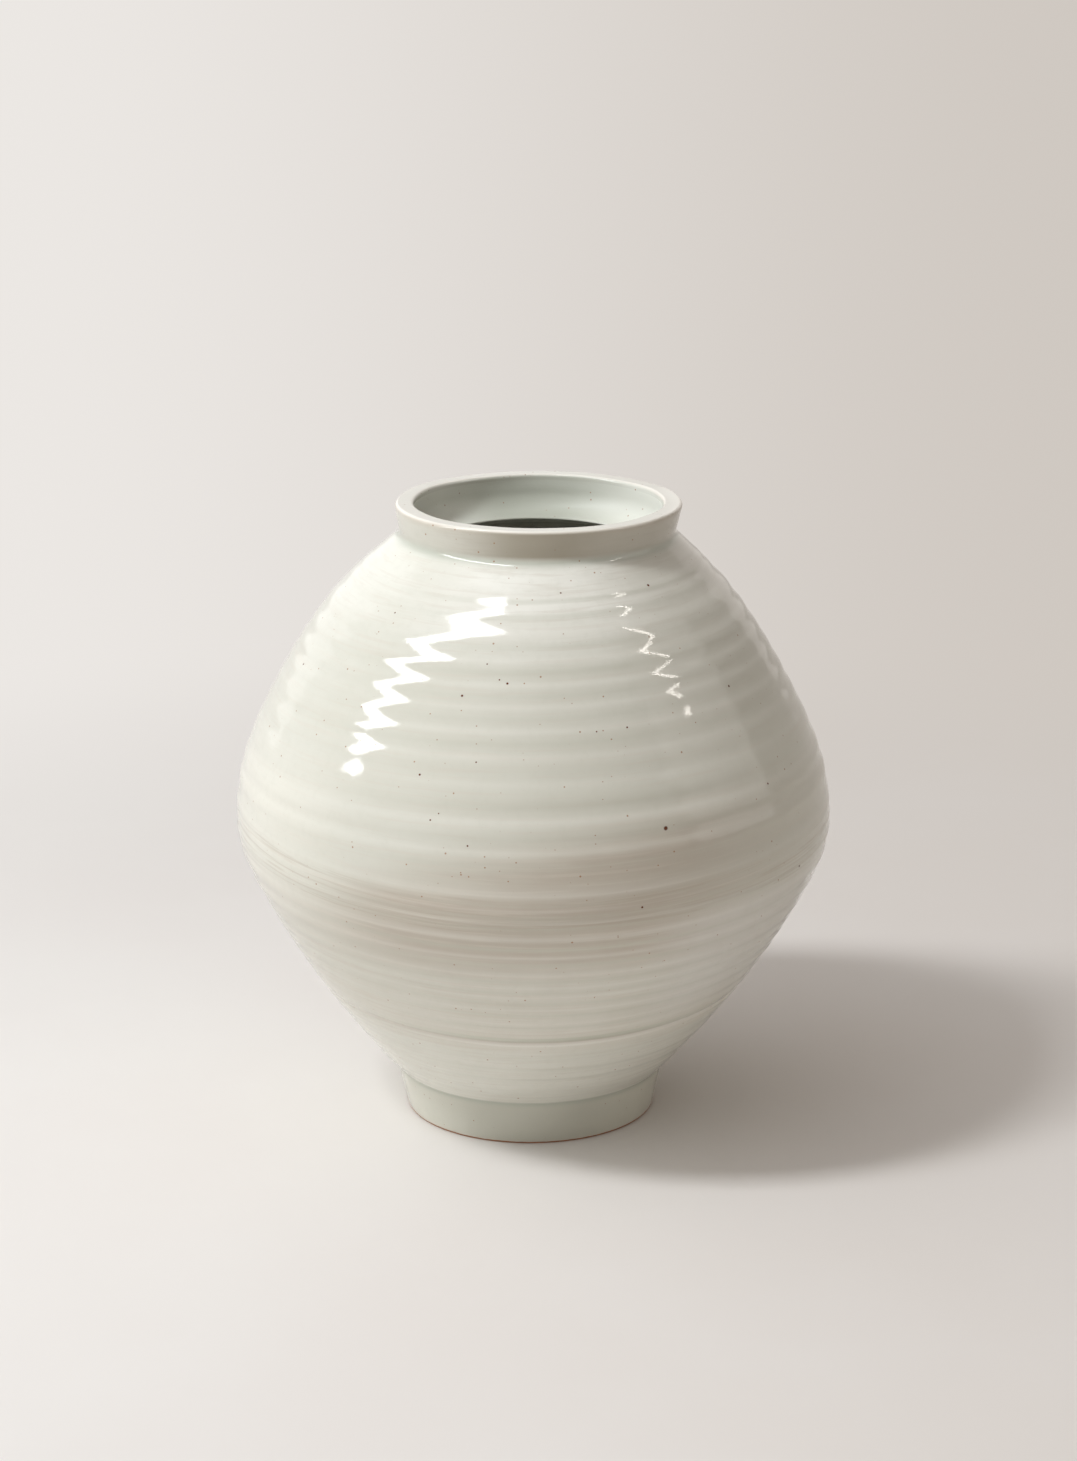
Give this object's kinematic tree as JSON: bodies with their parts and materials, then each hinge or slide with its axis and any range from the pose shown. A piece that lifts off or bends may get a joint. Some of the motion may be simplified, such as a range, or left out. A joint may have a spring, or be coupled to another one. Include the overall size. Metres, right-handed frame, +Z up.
{
  "type": "moon jar",
  "caption": "Large round white porcelain jar, widest at the waist where two thrown bowls are luted rim to rim, with a short flared collar and a tapered foot ring.",
  "frame": {"origin": "centre of the plane that the foot ring rests on, on the jar's axis", "axes": "+Z up along the jar's axis, +Y away from the picture's camera, +X to the picture's right"},
  "size_m": [0.4255, 0.4256, 0.45],
  "materials": {
    "white_glaze": "glossy milky-white glaze, faintly green where it pools, warm beige round the waist, with fine iron specks",
    "porcelain_slip": "fired porcelain slip and coil clay under the same glaze"
  },
  "bodies": {
    "root": {"foot_ring": "white_glaze", "foot_slip": "porcelain_slip", "lower_bowl": "white_glaze", "waist_slip": "porcelain_slip", "waist_coil": "porcelain_slip", "upper_bowl": "white_glaze", "neck_slip": "porcelain_slip", "neck_collar": "white_glaze"}
  },
  "joints": []
}
